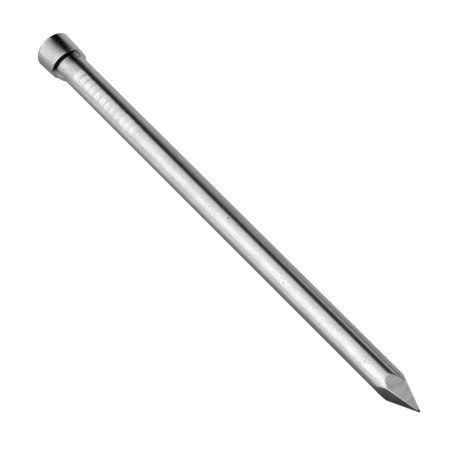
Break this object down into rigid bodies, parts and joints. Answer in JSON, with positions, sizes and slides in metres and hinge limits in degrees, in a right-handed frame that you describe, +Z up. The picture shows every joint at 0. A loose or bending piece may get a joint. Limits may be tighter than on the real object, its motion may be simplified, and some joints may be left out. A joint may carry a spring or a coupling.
{
  "type": "lost head nail",
  "caption": "Bright steel lost-head wire nail: round shank, small tapered head for punching below the surface, grip marks under the head and a four-faced diamond point.",
  "frame": {"origin": "On the surface the nail lies on, under the middle of its bounding box", "axes": "+X runs along the nail from the head to the point, +Z is up from the surface it lies on"},
  "size_m": [0.065, 0.0046, 0.0045],
  "materials": {
    "bright_steel": "bright cold-drawn wire, fine lengthways draw lines, uncoated"
  },
  "bodies": {
    "root": {"nail": "bright_steel"}
  },
  "joints": []
}
